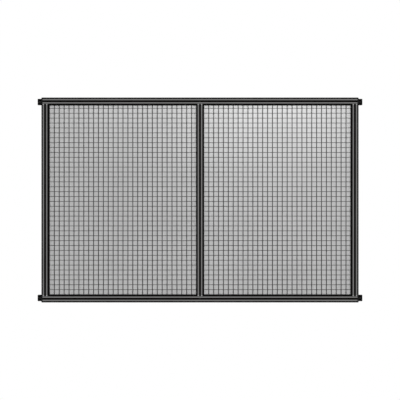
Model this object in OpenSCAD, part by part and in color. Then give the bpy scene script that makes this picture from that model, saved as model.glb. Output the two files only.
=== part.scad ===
// Machine guard fence panel: a slotted aluminium frame with two bays.
// Each bay holds a welded wire mesh with a tinted sheet behind it.
// Millimetres. X runs along the panel, Z is up, and the front faces -Y.
// The origin is on the rear face of the lower left bracket, where the
// outer edge of the frame crosses the centre line of the bottom rail.

/* [Frame] */
// Width of the frame over its end caps
frame_w = 1640; // [1000:1:2000]
// Height of the frame over its two rails
frame_h = 1060; // [600:1:1300]

/* [Profile] */
// Side of the square slotted profile
profile_w = 40; // [36:1:50]
// Outer corner radius of the profile
profile_r = 8; // [3:0.5:9]
// Diameter of the bore through the core
core_bore_d = 6.8; // [5:0.1:8]
// Width of a slot at its mouth
slot_w = 8.2; // [8:0.1:9]
// Chamfer along each lip of a slot
lip_ease = 1; // [0.2:0.1:1.5]
// Thickness of the lips beside a slot
lip_t = 4.5; // [3.5:0.1:5]
// Width of the hollow behind the lips
chamber_w = 20; // [16:0.5:21]
// Width of the square core between the slots' floors
core_w = 15.5; // [13:0.5:17]
// Thickness of the webs that run from the core to the corners
web_t = 2.8; // [2:0.1:4]
// Height of a rail's round edge that a post's notched end leaves bare
notch_bare = 2; // [1:0.5:2.5]
// How much sharper the notch's corner is than that round edge
notch_ease = 0.3; // [0.1:0.1:1]

/* [End caps] */
// Thickness of a cap on a rail's end
cap_t = 7; // [5:0.5:10]
// Radius round the outer edge of a cap
cap_edge_r = 6; // [2:0.5:7]
// Length of the peg that holds a cap in the core bore
cap_peg_l = 12; // [6:1:25]
// Slack of that peg in the core bore, across its diameter
cap_peg_slack = 0.1; // [0.1:0.1:0.5]

/* [Brackets] */
// Height of a bracket
bracket_h = 33; // [28:1:38]
// Thickness of a bracket
bracket_t = 8; // [6:0.5:12]
// How far a bracket's lug stands out past the frame
lug_reach = 25; // [22:1:45]
// How far a bracket reaches behind its rail
bracket_arm = 62; // [56:1:120]
// Corner radius of a bracket
bracket_r = 3.5; // [1:0.5:6]
// Diameter of the screw holes
screw_hole_d = 8.5; // [6.5:0.1:9]
// Diameter of the recess that takes a screw's head
recess_d = 15; // [14:0.5:18]
// Depth of that recess
recess_depth = 4.5; // [1:0.5:5]
// From the frame's edge to the centre of the lug's hole
lug_hole_x = 13; // [10:0.5:13.5]
// From the frame's edge to the first screw in the rail
arm_hole_x = 22; // [18:0.5:24]
// Between the two screws in the rail
arm_hole_pitch = 25; // [20:0.5:28]

/* [Mesh] */
// Spacing of the wires, centre to centre
mesh_pitch = 25.4; // [20:0.1:50]
// Diameter of the mesh's uprights
upright_d = 4; // [3:0.1:4.2]
// Diameter of the mesh's cross wires
cross_d = 2.5; // [2:0.1:2.7]
// Number of sides of a wire
wire_sides = 6; // [4:2:8]
// How far crossing wires are sunk into each other by the weld
weld_sink = 0.5; // [0.2:0.1:1]
// Gap between the wires and a slot's front lip
wire_clearance = 0.3; // [0.1:0.1:0.6]
// Distance the infill reaches into a slot
infill_reach = 9; // [6:0.5:10]

/* [Sheet and seals] */
// Thickness of the sheet
sheet_t = 2; // [1:0.1:2.5]
// How far a seal shows inside the bay
seal_lip = 1; // [0.5:0.5:4]
// How far a seal stands up from the sheet
seal_rise = 1.5; // [1:0.5:4]
// Depth of a seal in its slot
seal_depth = 6; // [3:0.5:8]

/* [Hidden] */

$fn = 48;
// Extra length of a cutter past the face it opens
over = 1;
// Number of nodes that a bay's mesh is split into, one above the other
mesh_bands = 4;

half = profile_w / 2;
// How far a post's ends lap over the rails' round edges
notch_lap = profile_r - notch_bare;
// Setback of a web's face from the profile's diagonal, along X or Y
web_set = web_t / sqrt(2);
// Middle plane of the frame, where the infill sits
mid_y = -bracket_t - half;
rail_l = frame_w - 2 * cap_t;
post_l = frame_h - 2 * profile_w;
top_z = frame_h - profile_w;
bay_w = (frame_w - 3 * profile_w) / 2;
// Lower left corner of the left bay, and the step to the right bay
bay_x = profile_w;
bay_z = half;
bay_step = bay_w + profile_w;

mesh_cols = floor((bay_w + infill_reach - upright_d) / mesh_pitch) + 1;
mesh_rows = floor((post_l + infill_reach - cross_d) / mesh_pitch) + 1;
// Thickness of the wires from their front flats to their rear flats
upright_depth = upright_d * cos(180 / wire_sides);
cross_depth = cross_d * cos(180 / wire_sides);
// From the front: uprights, cross wires, sheet and seals fill a slot's mouth
upright_y = mid_y - slot_w / 2 + wire_clearance + upright_depth / 2;
cross_y = upright_y + (upright_depth + cross_depth) / 2 - weld_sink;
sheet_y = cross_y + cross_depth / 2;
seal_y = sheet_y + sheet_t;
seal_t = mid_y + slot_w / 2 - seal_y;

black_metal = [0.13, 0.13, 0.12];
black_plastic = [0.09, 0.09, 0.09];
wire_black = [0.16, 0.16, 0.16];
seal_black = [0.07, 0.07, 0.07];
sheet_grey = [0.78, 0.79, 0.79, 0.55];

// ---- Shapes -----------------------------------------------------------

// A rectangle with round corners, centred
module round_rect(w, h, r) {
    square([w - 2 * r, h], center = true);
    square([w, h - 2 * r], center = true);
    for (x = [-1, 1], y = [-1, 1])
        translate([x * (w / 2 - r), y * (h / 2 - r)]) circle(r);
}

// One undercut slot, opening at the profile's +Y side
module slot_cut() {
    right = [
        [slot_w / 2 + lip_ease, half + over],
        [slot_w / 2 + lip_ease, half],
        [slot_w / 2, half - lip_ease],
        [slot_w / 2, half - lip_t],
        [chamber_w / 2, half - lip_t],
        [chamber_w / 2, chamber_w / 2 + web_set],
        [core_w / 2 - web_set, core_w / 2]
    ];
    left = [for (i = [len(right) - 1 : -1 : 0]) [-right[i][0], right[i][1]]];
    polygon(concat(right, left));
}

module profile_section() {
    difference() {
        round_rect(profile_w, profile_w, profile_r);
        for (a = [0 : 90 : 270]) rotate(a) slot_cut();
        circle(d = core_bore_d);
    }
}

// A length of profile standing on z = 0
module profile(l) {
    linear_extrude(l) profile_section();
}

// Turns a shape that stands along Z to lie along X
module along_x() {
    rotate([90, 0, 90]) children();
}

// ---- Frame ------------------------------------------------------------

module rail(z) {
    color(black_metal)
        translate([cap_t, mid_y, z]) along_x() profile(rail_l);
}

// A post, its ends notched to lap over the rails' round edges
module post(x) {
    color(black_metal) difference() {
        translate([x, mid_y, bay_z - notch_lap])
            profile(post_l + 2 * notch_lap);
        for (z = [0, top_z])
            translate([x - half - over, mid_y, z]) along_x()
                linear_extrude(profile_w + 2 * over)
                    round_rect(profile_w, profile_w, profile_r - notch_ease);
    }
}

// A cap with a rounded outer edge and a peg, its back on x = 0
module cap_shape() {
    intersection() {
        translate([-cap_t, 0, 0]) along_x()
            linear_extrude(cap_t) round_rect(profile_w, profile_w, profile_r);
        for_each_view() cap_outline();
    }
    translate([-over, 0, 0]) along_x()
        cylinder(h = cap_peg_l + over, d = core_bore_d - cap_peg_slack);
}

// The cap seen from one side, with round corners at its outer end
module cap_outline() {
    translate([cap_t / 2, 0])
        round_rect(3 * cap_t, profile_w, cap_edge_r);
}

// What lies inside a child outline seen both from the front and from above
module for_each_view() {
    intersection() {
        translate([0, half, 0]) rotate([90, 0, 0])
            linear_extrude(profile_w) children();
        translate([0, 0, -half]) linear_extrude(profile_w) children();
    }
}

module cap_left(z) {
    color(black_plastic) translate([cap_t, mid_y, z]) cap_shape();
}

module cap_right(z) {
    color(black_plastic)
        translate([frame_w - cap_t, mid_y, z]) mirror([1, 0, 0]) cap_shape();
}

// ---- Brackets ---------------------------------------------------------

// A bar screwed to the rear of a rail, with a lug past the frame's edge.
// The rail's screws sink into its rear face, and the lug's into its front.
module bracket_shape() {
    bar_l = lug_reach + bracket_arm;
    difference() {
        rotate([90, 0, 0]) linear_extrude(bracket_t)
            translate([bar_l / 2 - lug_reach, 0])
                round_rect(bar_l, bracket_h, bracket_r);
        for (x = [arm_hole_x, arm_hole_x + arm_hole_pitch])
            translate([x, 0, 0]) screw_hole();
        translate([-lug_hole_x, -bracket_t, 0]) rotate(180) screw_hole();
    }
}

// A hole through the bracket with its recess in the face at y = 0
module screw_hole() {
    translate([0, over, 0]) rotate([90, 0, 0]) {
        cylinder(h = bracket_t + 2 * over, d = screw_hole_d);
        cylinder(h = recess_depth + over, d = recess_d);
    }
}

module bracket_left(z) {
    color(black_metal) translate([0, 0, z]) bracket_shape();
}

module bracket_right(z) {
    color(black_metal)
        translate([frame_w, 0, z]) mirror([1, 0, 0]) bracket_shape();
}

// ---- Infill -----------------------------------------------------------

// A wire of few sides along Z from z = 0, with flats to front and rear
module wire(d, l) {
    rotate(90 - 180 / wire_sides)
        cylinder(h = l, d = d, $fn = wire_sides);
}

// Height of the cut below a row of the mesh, halfway between two rows
function cut_z(row) =
    row <= 0 ? -infill_reach
    : row >= mesh_rows ? post_l + infill_reach
    : (row - 0.5) * mesh_pitch;

// One band of a bay's mesh: all its uprights and some of its cross wires
module mesh_band(bay, band) {
    first = floor(band * mesh_rows / mesh_bands);
    last = floor((band + 1) * mesh_rows / mesh_bands) - 1;
    low = cut_z(first);
    high = cut_z(last + 1);
    color(wire_black) translate([bay_x + bay * bay_step, 0, bay_z]) {
        for (col = [0 : mesh_cols - 1])
            translate([col * mesh_pitch, upright_y, low]) wire(upright_d, high - low);
        for (row = [first : last])
            translate([-infill_reach, cross_y, row * mesh_pitch])
                rotate([0, 90, 0]) wire(cross_d, bay_w + 2 * infill_reach);
    }
}

module sheet(bay) {
    color(sheet_grey)
        translate([
            bay_x + bay * bay_step - infill_reach,
            sheet_y,
            bay_z - infill_reach
        ])
            cube([
                bay_w + 2 * infill_reach,
                sheet_t,
                post_l + 2 * infill_reach
            ]);
}

// ---- Seals ------------------------------------------------------------

// A seal's section: its foot in the slot at -X, its lip in the bay at +X,
// and the sheet it presses on below it
module seal_section() {
    translate([-seal_depth, 0]) square([seal_depth + seal_lip, seal_t]);
    square([seal_lip, seal_rise]);
}

// A seal of length l along Z, on the left side of a bay
module seal(l) {
    linear_extrude(l) seal_section();
}

module upright_seal(bay, right) {
    color(seal_black)
        translate([bay_x + bay * bay_step + (right ? bay_w : 0), seal_y, bay_z + seal_lip])
            mirror([right ? 1 : 0, 0, 0]) seal(post_l - 2 * seal_lip);
}

module cross_seal(bay, top) {
    color(seal_black)
        translate([bay_x + bay * bay_step, seal_y, bay_z + (top ? post_l : 0)])
            mirror([0, 0, top ? 1 : 0])
                multmatrix([[0, 0, 1, 0], [0, 1, 0, 0], [1, 0, 0, 0]])
                    seal(bay_w);
}

// ---- Nodes ------------------------------------------------------------

rail(0);  // bottom_rail
rail(top_z);  // top_rail
post(half);  // left_post
post(frame_w / 2);  // middle_post
post(frame_w - half);  // right_post
cap_left(0);  // lower_left_cap
cap_right(0);  // lower_right_cap
cap_left(top_z);  // upper_left_cap
cap_right(top_z);  // upper_right_cap
bracket_left(0);  // lower_left_bracket
bracket_right(0);  // lower_right_bracket
bracket_left(top_z);  // upper_left_bracket
bracket_right(top_z);  // upper_right_bracket
mesh_band(0, 0);  // left_mesh_1
mesh_band(0, 1);  // left_mesh_2
mesh_band(0, 2);  // left_mesh_3
mesh_band(0, 3);  // left_mesh_4
mesh_band(1, 0);  // right_mesh_1
mesh_band(1, 1);  // right_mesh_2
mesh_band(1, 2);  // right_mesh_3
mesh_band(1, 3);  // right_mesh_4
sheet(0);  // left_sheet
sheet(1);  // right_sheet
cross_seal(0, false);  // left_bay_bottom_seal
cross_seal(0, true);  // left_bay_top_seal
upright_seal(0, false);  // left_bay_left_seal
upright_seal(0, true);  // left_bay_right_seal
cross_seal(1, false);  // right_bay_bottom_seal
cross_seal(1, true);  // right_bay_top_seal
upright_seal(1, false);  // right_bay_left_seal
upright_seal(1, true);  // right_bay_right_seal
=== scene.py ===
"""Looks of a machine guard fence panel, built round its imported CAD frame. Metres, Z up."""
import math

import bmesh
import bpy
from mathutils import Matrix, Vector


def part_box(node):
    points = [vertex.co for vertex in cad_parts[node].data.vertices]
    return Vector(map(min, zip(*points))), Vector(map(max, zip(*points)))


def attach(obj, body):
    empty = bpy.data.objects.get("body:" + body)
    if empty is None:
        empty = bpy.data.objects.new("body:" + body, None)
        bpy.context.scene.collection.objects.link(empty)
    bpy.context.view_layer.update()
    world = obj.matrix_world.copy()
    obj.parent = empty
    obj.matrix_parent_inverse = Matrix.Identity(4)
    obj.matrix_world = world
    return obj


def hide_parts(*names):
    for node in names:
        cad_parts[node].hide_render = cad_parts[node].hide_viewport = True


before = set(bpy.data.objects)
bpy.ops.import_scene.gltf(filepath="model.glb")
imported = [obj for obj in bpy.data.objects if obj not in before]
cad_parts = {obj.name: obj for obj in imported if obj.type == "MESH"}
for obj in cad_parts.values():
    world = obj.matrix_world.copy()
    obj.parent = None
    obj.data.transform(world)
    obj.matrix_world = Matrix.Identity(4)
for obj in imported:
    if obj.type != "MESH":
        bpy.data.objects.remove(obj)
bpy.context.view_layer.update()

# ---- Sizes, in metres ---------------------------------------------------

MESH_PITCH = 0.0254
UPRIGHT_D = 0.004
CROSS_D = 0.0025
WIRE_SIDES = 12
FLATTENED = math.cos(math.radians(30))     # a wire's depth over its width, as its CAD bar has it
WIRE_TIP_L = 0.4                # length of a wire's tapered tip, over its half depth
WIRE_TIP_R = 0.6                # radius of that tip's end, over the wire's own
WELD_R = 0.0026
WELD_RISE = 0.0009
WELD_TAPER = 0.55               # radius of a weld's two ends, over its middle
WELD_SIDES = 8

SCREW_SIDES = 48
SCREW_EDGE = 0.0003             # small bevel round the foot of a head
SOCKET_AF = 0.005               # across flats
SOCKET_DEPTH = 0.0026
SOCKET_RIM_R = 0.64             # over the socket's width across flats
SOCKET_BEVEL = 0.0002
SOCKET_CONE = 0.0012
SOCKET_CONE_R = 0.0004
HEAD_R = 0.007
HEAD_H = 0.0042
DOME_FROM, DOME_TURN = 12, 68   # degrees: where a button head's dome starts, and how far it turns
DOME_STEPS = 7
DOME_TOP_R = 0.68               # over the socket's width: the dome comes no nearer to the middle
SHANK_R = 0.004
SHANK_TIP_R = 0.8               # over the shank's radius
SHANK_TIP_L = 0.25              # over the shank's radius
SHANK_IN_SLOT = 0.8             # how far an arm's screw reaches, over the slot's depth
SLOT_HEAD_R = 0.0038
SLOT_HEAD_H = 0.0045
SLOT_HEAD_BEVEL = 0.0004
RECESS_DEPTH = 0.0045
LUG_HOLE_X = 0.013
ARM_HOLES_X = (0.022, 0.047)
BRACKET_T = 0.008

SLOT_W = 0.0082
SLOT_DEPTH = 0.01225
FLAT_START = (0.0043, 0.0060)   # off the profile's middle line: the painted reflection on a face starts at the slot's lip
FLAT_END = (0.0107, 0.0127)     # and turns into the painted shade of the round shoulder
FACE_LEAN = (0.965, 0.995)      # cosine of a surface's lean: from the shoulder's painted shade to the flat face's painted reflection
LIP_RIM = (0.0002, 0.0006)      # past the slot's edge: from the slot's painted shade to the face
SLOT_SHADE = (0.0004, 0.0012)   # under a face: from the face to the slot's painted shade
HOLLOW_SHADE = (0.0040, 0.0042) # under a face: everything deeper gets painted shade
CUT_FADE = (0.0005, 0.0045)     # off a post's cut end: the painted highlight fades into the black
BRUSH_STRETCH = 0.012           # under 1, so it draws the brushing out along the profile

VIEW_DISTANCE = 5.0
VIEW_WIDTH = 2.0652             # width of the picture at the frame's front face
SENSOR_W = 36.0                 # millimetres
FLOOR_DROP = 0.92               # the panel hangs this far above the floor
FLOOR_HALF = 30.0               # half the floor's width
SHADOW_REACH = (0.3, 1.35)      # the floor's shadow fades to white over this distance
SHADOW_WHITE = 0.6              # share of white laid over the shadow's middle
ROOM_LIGHT = 0.55               # the world's level as a light
LAMP_DROP = 0.01                # the key and edge lamps are this far below the top rail
KEY_SIDE = 0.42                 # the key lamp stands this far to the right of the middle

# ---- Places, read from the frame ----------------------------------------

left_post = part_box("left_post")
middle_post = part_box("middle_post")
right_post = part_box("right_post")
bottom_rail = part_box("bottom_rail")
top_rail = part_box("top_rail")

PROFILE_W = left_post[1].x - left_post[0].x
FRONT_Y = left_post[0].y
MID_Y = (left_post[0].y + left_post[1].y) / 2
FRAME_X0, FRAME_X1 = left_post[0].x, right_post[1].x
MID_X = (FRAME_X0 + FRAME_X1) / 2
MID_Z = (bottom_rail[0].z + top_rail[1].z) / 2
RAIL_ZS = [(box[0].z + box[1].z) / 2 for box in (bottom_rail, top_rail)]
BAYS = {"left": (left_post[1].x, middle_post[0].x), "right": (middle_post[1].x, right_post[0].x)}
BAY_Z = (bottom_rail[1].z, top_rail[0].z)
CORNERS = [(level, side) for level in ("lower", "upper") for side in ("left", "right")]


# ---- Small tools for meshes ---------------------------------------------

def piece(name, bm, material, smooth_angle, replaces=()):
    """Turns a bmesh into a named piece of the object that rides on its body."""
    bmesh.ops.recalc_face_normals(bm, faces=bm.faces)
    mesh = bpy.data.meshes.new(name)
    bm.to_mesh(mesh)
    bm.free()
    obj = bpy.data.objects.new(name, mesh)
    bpy.context.scene.collection.objects.link(obj)
    mesh.materials.append(material)
    mesh.shade_smooth()
    mesh.set_sharp_from_angle(angle=math.radians(smooth_angle))
    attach(obj, "root")
    if replaces:
        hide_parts(*replaces)


def loft(bm, rings):
    """Joins rings of as many points each into a tube with flat ends."""
    made = [[bm.verts.new(p) for p in ring] for ring in rings]
    for a, b in zip(made, made[1:]):
        n = len(a)
        for i in range(n):
            bm.faces.new((a[i], a[(i + 1) % n], b[(i + 1) % n], b[i]))
    bm.faces.new(made[0][::-1])
    bm.faces.new(made[-1])


def ellipse(centre, across, deep, r_across, r_deep, sides):
    """Points of an ellipse round a centre, in the plane of two unit directions."""
    turn = 2 * math.pi / sides
    return [
        centre + across * (r_across * math.cos(i * turn)) + deep * (r_deep * math.sin(i * turn))
        for i in range(sides)
    ]


# ---- Node materials -----------------------------------------------------

class Nodes:
    """The node tree of a material or a world, with one short call for each node and its links."""

    def __init__(self, owner):
        owner.use_nodes = True
        self.owner = owner
        self.tree = owner.node_tree
        self.shader = self.tree.nodes.get("Principled BSDF")

    def node(self, kind, inputs=None, **settings):
        made = self.tree.nodes.new("ShaderNode" + kind)
        for key, value in settings.items():
            setattr(made, key, value)
        for key, value in (inputs or {}).items():
            self.put(made.inputs[key], value)
        return made

    def put(self, socket, value):
        """Links a socket to a node or to another socket, or sets it to a value."""
        if isinstance(value, bpy.types.NodeSocket):
            self.tree.links.new(value, socket)
        elif isinstance(value, bpy.types.Node):
            self.tree.links.new(value.outputs[0], socket)
        else:
            socket.default_value = value

    def set(self, **values):
        """Puts values on the shader's sockets, whose names have spaces for underscores."""
        for key, value in values.items():
            self.put(self.shader.inputs[key.replace("_", " ")], value)

    def math(self, operation, a, b=0.0):
        return self.node("Math", {0: a, 1: b}, operation=operation).outputs[0]

    def ramp(self, value, low, high, to_low=0.0, to_high=1.0, kind="SMOOTHSTEP"):
        made = self.node(
            "MapRange",
            {"Value": value, "From Min": low, "From Max": high, "To Min": to_low, "To Max": to_high},
            interpolation_type=kind,
        )
        return made.outputs[0]

    def vary(self, noise, to_low, to_high, core=(0.3, 0.7)):
        """Runs evenly between two levels over the core of a noise's range."""
        return self.ramp(noise, *core, to_low, to_high, "LINEAR")

    def patches(self, noise, a, b):
        """Soft patches of two colours."""
        return self.blend(self.ramp(noise, 0.3, 0.7), a, b)

    def noise(self, scale, detail, stretch=(1.0, 1.0, 1.0), roughness=0.5):
        """Noise over the place in metres. A stretch under 1 draws it out along that axis."""
        place = self.node("NewGeometry").outputs["Position"]
        scaled = self.node("Mapping", {"Vector": place, "Scale": stretch})
        made = self.node(
            "TexNoise",
            {"Vector": scaled, "Scale": scale, "Detail": detail, "Roughness": roughness},
        )
        return made.outputs["Fac"]

    def blend(self, factor, a, b):
        made = self.node("Mix", data_type="RGBA")
        self.put(made.inputs[0], factor)
        self.put(made.inputs[6], a)
        self.put(made.inputs[7], b)
        return made.outputs[2]

    def bump(self, height, distance, strength, normal=None):
        inputs = {"Height": height, "Distance": distance, "Strength": strength}
        if normal is not None:
            inputs["Normal"] = normal
        return self.node("Bump", inputs).outputs[0]

    def worn_edge(self, radius, start, full):
        """0 on flat stretches, rising to 1 on edges sharper than the radius.

        start and full are cosines of the turn at which the wear starts and is full."""
        round_normal = self.node("Bevel", {"Radius": radius}, samples=6).outputs[0]
        true_normal = self.node("NewGeometry").outputs["Normal"]
        agree = self.node("VectorMath", {0: round_normal, 1: true_normal}, operation="DOT_PRODUCT")
        return self.ramp(agree.outputs["Value"], start, full)

    def seen(self):
        """1 for what the camera sees, also in a reflection or through glass, and 0 for light."""
        path = self.node("LightPath")
        seen = self.math("MAXIMUM", path.outputs["Is Camera Ray"], path.outputs["Is Glossy Ray"])
        return self.math("MAXIMUM", seen, path.outputs["Is Transmission Ray"])


def new_material(name):
    return Nodes(bpy.data.materials.new(name))


def grey(value, warm=0.0):
    return (value * (1 + warm), value, value * (1 - warm), 1.0)


def anodised(name, axis, centre, cut_ends=None):
    """Black anodised profile along an axis: brushed, with a painted reflection on the flats and painted
    shade on the shoulders and in the slots.

    centre gives where the profile's middle line passes on the other two axes, and cut_ends where
    it is cut along the first: the flats get a painted highlight there."""
    # Colours: painted shade on the shoulders, a paler painted reflection on the flats, painted shade in
    # the slots, and a painted highlight at a post's cut ends
    shoulder_painted_shade = grey(0.006, warm=0.02)
    flat_painted_reflection = grey(0.185, warm=0.01)
    slot_painted_shade = grey(0.002, warm=0.3)
    edge_grey = grey(0.22)
    cut_end_painted_highlight = grey(0.50)
    half = PROFILE_W / 2
    m = new_material(name)
    along = "xyz".index(axis)
    others = [i for i in range(3) if i != along]
    geometry = m.node("NewGeometry")
    place = m.node("SeparateXYZ", {0: geometry.outputs["Position"]})
    normal = m.node("SeparateXYZ", {0: geometry.outputs["Normal"]})
    off = [
        m.math("ABSOLUTE", m.math("SUBTRACT", place.outputs[i], middle))
        for i, middle in zip(others, centre)
    ]
    lean = [m.math("ABSOLUTE", normal.outputs[i]) for i in others]
    reach = m.math("MAXIMUM", *off)
    near = m.math("MINIMUM", *off)

    # flat: 1 where a face gets the painted reflection, 0 where the shoulders get painted shade
    level_face = m.ramp(m.math("MAXIMUM", *lean), *FACE_LEAN)
    from_slot = m.ramp(near, *FLAT_START)
    to_shoulder = m.ramp(near, *FLAT_END, 1.0, 0.0)
    flat = m.math("MULTIPLY", level_face, m.math("MULTIPLY", from_slot, to_shoulder))
    # painted shade down in the slots and in the hollow core
    deep, hollow = [
        m.ramp(reach, half - end, half - start, 1.0, 0.0)
        for start, end in (SLOT_SHADE, HOLLOW_SHADE)
    ]
    mouth = m.ramp(near, SLOT_W / 2 + LIP_RIM[0], SLOT_W / 2 + LIP_RIM[1], 1.0, 0.0)
    painted_slot_shade = m.math("MAXIMUM", m.math("MULTIPLY", deep, mouth), hollow)

    stretch = [1.0, 1.0, 1.0]
    stretch[along] = BRUSH_STRETCH
    streaks = m.noise(900.0, 4.0, stretch, roughness=0.6)
    bands = m.noise(60.0, 2.0, stretch)
    cloud = m.noise(7.0, 3.0)
    grain = m.noise(2600.0, 2.0)

    shine = m.vary(streaks, 0.92, 1.08, core=(0.25, 0.75))
    patch = m.vary(cloud, 0.94, 1.06)
    band = m.vary(bands, 0.95, 1.05)
    level = m.math("MULTIPLY", m.math("MULTIPLY", shine, patch), band)
    # painted shade on the shoulders, painted reflection on the flats
    skin = m.blend(flat, shoulder_painted_shade, flat_painted_reflection)
    # a painted highlight on the flats at a post's cut ends
    if cut_ends:
        low, high = cut_ends
        to_low = m.math("SUBTRACT", place.outputs[along], low)
        to_high = m.math("SUBTRACT", high, place.outputs[along])
        painted_end_highlight = m.ramp(m.math("MINIMUM", to_low, to_high), *CUT_FADE, 1.0, 0.0)
        skin = m.blend(m.math("MULTIPLY", flat, painted_end_highlight), skin, cut_end_painted_highlight)
    edge = m.worn_edge(0.0005, start=0.985, full=0.90)
    skin = m.blend(m.math("MULTIPLY", edge, 0.35), skin, edge_grey)
    # painted shade in the slots
    skin = m.blend(painted_slot_shade, skin, slot_painted_shade)
    levels = m.node("CombineXYZ", {0: level, 1: level, 2: level})
    brushed = m.bump(streaks, 0.00004, 0.5)
    m.set(
        Base_Color=m.node("VectorMath", {0: skin, 1: levels}, operation="MULTIPLY"),
        Metallic=1.0,
        Roughness=m.math("ADD", m.vary(streaks, 0.33, 0.43), m.vary(cloud, -0.02, 0.03)),
        Specular_Tint=grey(0.0),
        Normal=m.bump(grain, 0.00001, 0.4, brushed),
    )
    return m.owner


def powder_coat(name, value, edge_value, peel_scale=1400.0, gloss=0.1):
    """Black powder coat: an even orange peel, faint clouds and thin, paler edges."""
    m = new_material(name)
    peel = m.noise(peel_scale, 2.0)
    cloud = m.noise(30.0, 3.0)
    grit = m.noise(5200.0, 2.0)
    base = m.patches(cloud, grey(value * 0.85, warm=0.02), grey(value * 1.15))
    edge = m.worn_edge(0.0004, start=0.985, full=0.88)
    m.set(
        Base_Color=m.blend(m.math("MULTIPLY", edge, 0.5), base, grey(edge_value)),
        Roughness=m.vary(grit, 0.42, 0.56),
        Specular_IOR_Level=gloss,
        Normal=m.bump(grit, 0.00001, 0.5, m.bump(peel, 0.00004, 0.6)),
    )
    return m.owner


def moulded(name, value, rough_low, rough_high, grain_scale=2400.0):
    """Black plastic or rubber with a fine moulded grain and slight scuffs."""
    m = new_material(name)
    grain = m.noise(grain_scale, 2.0)
    cloud = m.noise(45.0, 4.0)
    scuff = m.noise(240.0, 5.0, (1.0, 1.0, 0.35), roughness=0.7)
    base = m.patches(cloud, grey(value * 0.8), grey(value * 1.2))
    m.set(
        Base_Color=m.blend(m.ramp(scuff, 0.62, 0.75, 0.0, 0.35), base, grey(value * 2.2)),
        Roughness=m.vary(scuff, rough_high, rough_low, core=(0.35, 0.7)),
        Specular_IOR_Level=0.05,
        Normal=m.bump(grain, 0.00003, 0.5),
    )
    return m.owner


def oxide_steel(name):
    """Black oxide on a screw: dark satin metal, a little brown, brighter on its edges."""
    m = new_material(name)
    cloud = m.noise(260.0, 4.0)
    turning = m.noise(1800.0, 3.0)
    base = m.patches(cloud, grey(0.028, warm=0.05), grey(0.048))
    edge = m.worn_edge(0.0003, start=0.98, full=0.85)
    m.set(
        Base_Color=m.blend(m.math("MULTIPLY", edge, 0.5), base, grey(0.14)),
        Metallic=1.0,
        Roughness=m.vary(turning, 0.32, 0.46),
        Normal=m.bump(turning, 0.00002, 0.4),
    )
    return m.owner


def translucent_sheet(name):
    """Light grey translucent sheet: a soft gloss, a slight wave and a film of dust."""
    m = new_material(name)
    wave = m.noise(2.4, 2.0)
    dust = m.noise(420.0, 5.0, roughness=0.7)
    cloud = m.noise(3.5, 3.0)
    dust_rough = m.vary(dust, 0.30, 0.40, core=(0.45, 0.8))
    m.set(
        Base_Color=m.patches(cloud, grey(0.45), grey(0.48)),
        Roughness=m.math("ADD", dust_rough, m.vary(cloud, -0.02, 0.02)),
        Alpha=0.55,
        Specular_IOR_Level=0.5,
        Normal=m.bump(wave, 0.004, 0.3, m.bump(dust, 0.000006, 0.3)),
    )
    return m.owner


# ---- Finishes of the CAD nodes ------------------------------------------

def dress(node, material):
    """Gives a CAD node its finish and leaves its shape alone."""
    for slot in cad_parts[node].material_slots:
        slot.material = material


for node, z in (("bottom_rail", RAIL_ZS[0]), ("top_rail", RAIL_ZS[1])):
    dress(node, anodised(node + "_anodised", "x", (MID_Y, z)))
for node, box in (("left_post", left_post), ("middle_post", middle_post), ("right_post", right_post)):
    middle = ((box[0].x + box[1].x) / 2, MID_Y)
    dress(node, anodised(node + "_anodised", "z", middle, (box[0].z, box[1].z)))

coat = powder_coat("bracket_coat", 0.003, 0.02, gloss=0.03)
wire_coat = powder_coat("wire_coat", 0.048, 0.08, peel_scale=2200.0)
plastic = moulded("cap_plastic", 0.006, 0.42, 0.55)
rubber = moulded("seal_rubber", 0.005, 0.62, 0.78, grain_scale=3200.0)
oxide = oxide_steel("screw_oxide")
sheet = translucent_sheet("sheet_grey")
for level, side in CORNERS:
    dress(f"{level}_{side}_bracket", coat)
    dress(f"{level}_{side}_cap", plastic)
for bay in BAYS:
    dress(f"{bay}_sheet", sheet)
    for edge in ("bottom", "top", "left", "right"):
        dress(f"{bay}_bay_{edge}_seal", rubber)


# ---- Welded mesh --------------------------------------------------------

def wire(bm, start, end, across, r_across, r_deep):
    """One straight wire with slightly tapered tips."""
    deep = Vector((0, 1, 0))
    run = (end - start).normalized()
    tip = r_deep * WIRE_TIP_L
    stations = [(start, WIRE_TIP_R), (start + run * tip, 1.0), (end - run * tip, 1.0), (end, WIRE_TIP_R)]
    loft(bm, [
        ellipse(place, across, deep, r_across * share, r_deep * share, WIRE_SIDES)
        for place, share in stations
    ])


def weld(bm, centre):
    """The small squeezed collar where two wires are welded."""
    turn = 2 * math.pi / WELD_SIDES
    rings = []
    for y, share in ((-WELD_RISE, WELD_TAPER), (0.0, 1.0), (WELD_RISE, WELD_TAPER)):
        rings.append([
            centre + Vector((
                WELD_R * share * math.cos((i + 0.5) * turn), y,
                WELD_R * share * math.sin((i + 0.5) * turn)))
            for i in range(WELD_SIDES)
        ])
    loft(bm, rings)


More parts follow.
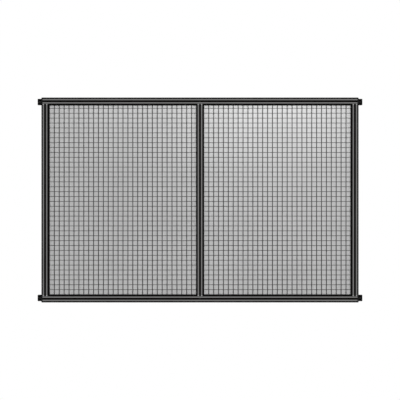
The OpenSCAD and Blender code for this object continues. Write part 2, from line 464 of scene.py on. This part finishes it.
def welded_mesh(bay):
    """A bay's mesh: uprights in front, cross wires behind, welded where they cross."""
    bands = [f"{bay}_mesh_{i}" for i in range(1, 5)]
    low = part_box(bands[0])[0]
    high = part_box(bands[-1])[1]
    upright_r, cross_r = UPRIGHT_D / 2, CROSS_D / 2
    upright_y = low.y + upright_r * FLATTENED
    cross_y = high.y - cross_r * FLATTENED
    weld_y = upright_y + upright_r * FLATTENED
    x0, z0 = BAYS[bay][0], BAY_Z[0]
    cols = int((high.x - UPRIGHT_D - x0) / MESH_PITCH) + 1
    rows = int((high.z - UPRIGHT_D - z0) / MESH_PITCH) + 1
    xs = [x0 + col * MESH_PITCH for col in range(cols)]
    zs = [z0 + row * MESH_PITCH for row in range(rows)]
    bm = bmesh.new()
    for x in xs:
        wire(bm, Vector((x, upright_y, low.z)), Vector((x, upright_y, high.z)),
             Vector((1, 0, 0)), upright_r, upright_r * FLATTENED)
    for z in zs:
        wire(bm, Vector((low.x, cross_y, z)), Vector((high.x, cross_y, z)),
             Vector((0, 0, 1)), cross_r, cross_r * FLATTENED)
    for x in xs:
        for z in zs:
            weld(bm, Vector((x, weld_y, z)))
    piece(f"{bay}_welded_mesh", bm, wire_coat, 50, bands)


for bay in BAYS:
    welded_mesh(bay)


# ---- Screws -------------------------------------------------------------

def turned(name, tip, toward, outline, socket_af, top):
    """A piece turned round a line: outline gives radius and height, up to a hex socket at top."""
    turn = 2 * math.pi / SCREW_SIDES
    per_flat = SCREW_SIDES // 6
    hexagon = [
        socket_af / 2 / math.cos((i % per_flat - per_flat / 2) * turn) for i in range(SCREW_SIDES)
    ]
    floor_h = top - SOCKET_DEPTH
    rings = [([r] * SCREW_SIDES, h) for r, h in outline]
    rings += [([socket_af * SOCKET_RIM_R] * SCREW_SIDES, top), (hexagon, top - SOCKET_BEVEL)]
    rings += [(hexagon, floor_h), ([SOCKET_CONE_R] * SCREW_SIDES, floor_h - SOCKET_CONE)]
    side = Vector((0, 0, 1))
    across = toward.cross(side)
    bm = bmesh.new()
    loft(bm, [
        [
            tip + toward * h + across * (r * math.cos(turn * i)) + side * (r * math.sin(turn * i))
            for i, r in enumerate(radii)
        ]
        for radii, h in rings
    ])
    piece(name, bm, oxide, 32)


def button_screw(name, tip, toward, length):
    """A button head screw. tip is the end of its shank, and toward points to its head."""
    low = math.radians(DOME_FROM)
    outline = [(SHANK_R * SHANK_TIP_R, 0.0), (SHANK_R, SHANK_R * SHANK_TIP_L), (SHANK_R, length)]
    outline += [(HEAD_R - SCREW_EDGE, length), (HEAD_R, length + SCREW_EDGE)]
    for i in range(1, DOME_STEPS + 1):
        angle = low + math.radians(DOME_TURN) * i / DOME_STEPS
        rise = (math.sin(angle) - math.sin(low)) / (1 - math.sin(low))
        radius = HEAD_R * math.cos(angle) / math.cos(low)
        if radius > SOCKET_AF * DOME_TOP_R:
            outline.append((radius, length + HEAD_H * rise))
    turned(name, tip, toward, outline, SOCKET_AF, outline[-1][1])


def slot_screw(name, seat, toward):
    """The cylinder head of the screw that fixes a post's end, down in a rail's slot."""
    r, h = SLOT_HEAD_R, SLOT_HEAD_H
    outline = [(r - SCREW_EDGE, 0.0), (r, SCREW_EDGE), (r, h - SLOT_HEAD_BEVEL), (r - SLOT_HEAD_BEVEL, h)]
    turned(name, seat, toward, outline, r, h)


FORWARD = Vector((0, -1, 0))
REARWARD = Vector((0, 1, 0))
SEAT = BRACKET_T - RECESS_DEPTH             # what a recess leaves of the bracket under a head
GRIP = SLOT_DEPTH * SHANK_IN_SLOT
for level, side in CORNERS:
    z = RAIL_ZS[0] if level == "lower" else RAIL_ZS[1]
    edge_x, out = (FRAME_X0, -1) if side == "left" else (FRAME_X1, 1)
    lug_tip = Vector((edge_x + out * LUG_HOLE_X, 0, z))
    button_screw(f"{level}_{side}_lug_screw", lug_tip, FORWARD, SEAT)
    for number, x in enumerate(ARM_HOLES_X, 1):
        arm_tip = Vector((edge_x - out * x, -BRACKET_T - GRIP, z))
        button_screw(f"{level}_{side}_arm_screw_{number}", arm_tip, REARWARD, GRIP + SEAT)
for level, z in zip(("lower", "upper"), RAIL_ZS):
    slot_screw(f"{level}_middle_screw", Vector((MID_X, FRONT_Y + SLOT_DEPTH, z)), FORWARD)


# ---- Stage --------------------------------------------------------------

def daylight_world():
    """White to the camera, to gloss and through glass, and a plain level for the rest."""
    world = Nodes(bpy.data.worlds.new("studio"))
    bpy.context.scene.world = world.owner
    world.tree.nodes.clear()
    soft = world.node("Background", {"Color": grey(1.0), "Strength": ROOM_LIGHT})
    white = world.node("Background", {"Color": grey(1.0), "Strength": 1.0})
    mix = world.node("MixShader", {0: world.seen(), 1: soft, 2: white})
    world.node("OutputWorld", {"Surface": mix})


def floor_material():
    """Pale floor that keeps a shadow near the panel and fades to white further out."""
    m = new_material("floor_pale")
    m.set(Base_Color=grey(0.8), Roughness=0.9, Specular_IOR_Level=0.1)
    place = m.node("NewGeometry").outputs["Position"]
    under_bays = (MID_X, MID_Y, BAY_Z[0] - FLOOR_DROP)
    away = m.node("VectorMath", {0: place, 1: under_bays}, operation="DISTANCE").outputs["Value"]
    fade = m.math("MULTIPLY", m.seen(), m.ramp(away, *SHADOW_REACH, SHADOW_WHITE, 1.0))
    white = m.node("Emission", {"Color": grey(1.0), "Strength": 1.0})
    mix = m.node("MixShader", {0: fade, 1: m.shader.outputs[0], 2: white})
    m.put(m.tree.nodes["Material Output"].inputs["Surface"], mix)
    return m.owner


def floor():
    bm = bmesh.new()
    z = bottom_rail[0].z - FLOOR_DROP
    bm.faces.new([
        bm.verts.new((MID_X + x * FLOOR_HALF, MID_Y + y * FLOOR_HALF, z))
        for x, y in ((-1, -1), (1, -1), (1, 1), (-1, 1))
    ])
    mesh = bpy.data.meshes.new("floor")
    bm.to_mesh(mesh)
    bm.free()
    obj = bpy.data.objects.new("floor", mesh)
    mesh.materials.append(floor_material())
    bpy.context.scene.collection.objects.link(obj)


def lamp(name, place, aim, width, height, power):
    """A soft box at a place, turned to what it lights and left out of reflections."""
    light = bpy.data.lights.new(name, "AREA")
    light.shape = "RECTANGLE"
    light.size = width
    light.size_y = height
    light.energy = power
    obj = bpy.data.objects.new(name, light)
    obj.location = place
    obj.rotation_euler = (Vector(aim) - Vector(place)).to_track_quat("-Z", "Y").to_euler()
    obj.visible_glossy = False
    bpy.context.scene.collection.objects.link(obj)


def lamps():
    """Two strips in front, level with the bays' tops, and a broad lamp in front and behind."""
    centre = (MID_X, MID_Y, MID_Z)
    wash_z = BAY_Z[1] - LAMP_DROP
    key_x = MID_X + KEY_SIDE
    lamp("key", (key_x, FRONT_Y - 0.5, wash_z), (key_x, MID_Y, wash_z), width=0.75, height=0.15, power=2.1)
    lamp("edge", (MID_X, FRONT_Y - 0.2, wash_z), (MID_X, MID_Y, wash_z), width=1.5, height=0.06, power=0.7)
    lamp("front", (MID_X + 1.2, FRONT_Y - 4.5, MID_Z + 0.4), centre, width=4.5, height=4.5, power=78)
    lamp("rear", (MID_X + 0.8, MID_Y + 4.0, MID_Z + 1.6), centre, width=2.5, height=2.5, power=60)


def camera():
    """Straight in front of the panel's middle, with the photograph's frame."""
    data = bpy.data.cameras.new("camera")
    data.sensor_width = SENSOR_W
    data.lens = SENSOR_W * VIEW_DISTANCE / VIEW_WIDTH
    obj = bpy.data.objects.new("camera", data)
    obj.location = (MID_X, FRONT_Y - VIEW_DISTANCE, MID_Z)
    obj.rotation_euler = (math.radians(90), 0, 0)
    bpy.context.scene.collection.objects.link(obj)
    bpy.context.scene.camera = obj


daylight_world()
floor()
lamps()
camera()
bpy.context.scene.view_settings.view_transform = "Standard"
